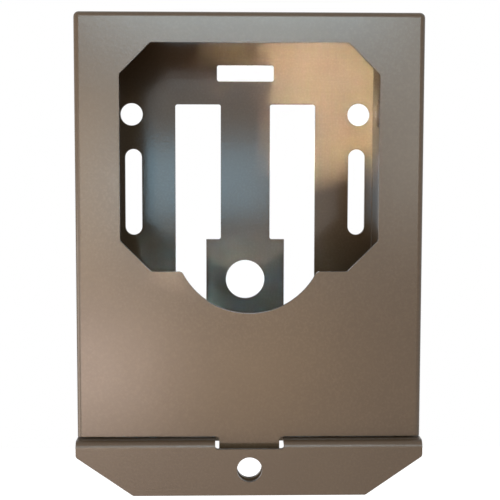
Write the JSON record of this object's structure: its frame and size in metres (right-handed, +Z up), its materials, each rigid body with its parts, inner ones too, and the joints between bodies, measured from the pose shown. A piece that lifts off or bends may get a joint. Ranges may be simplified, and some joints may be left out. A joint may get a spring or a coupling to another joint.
{
  "type": "trail camera security box",
  "caption": "Folded steel security box for a trail camera: open-backed housing, slide-on front cover with a shaped opening, and a padlock flange below.",
  "frame": {"origin": "middle of the rear plate's back face, halfway up the folded channel", "axes": "+Z up, +Y out of the back face towards the tree or wall, +X to the right as seen from the front; the cover faces -Y"},
  "size_m": [0.11, 0.0728, 0.1525],
  "materials": {
    "powder_coat": "semi-gloss brown powder coat with a fine orange-peel texture"
  },
  "bodies": {
    "housing": {"back_channel": "powder_coat", "top_cap": "powder_coat", "hasp_plate": "powder_coat"},
    "cover": {"front_cover": "powder_coat"}
  },
  "joints": [
    {"name": "cover_slide", "type": "slide", "parent": "housing", "child": "cover", "axis": [0, 0, 1], "range_m": [0, 0.15]}
  ]
}
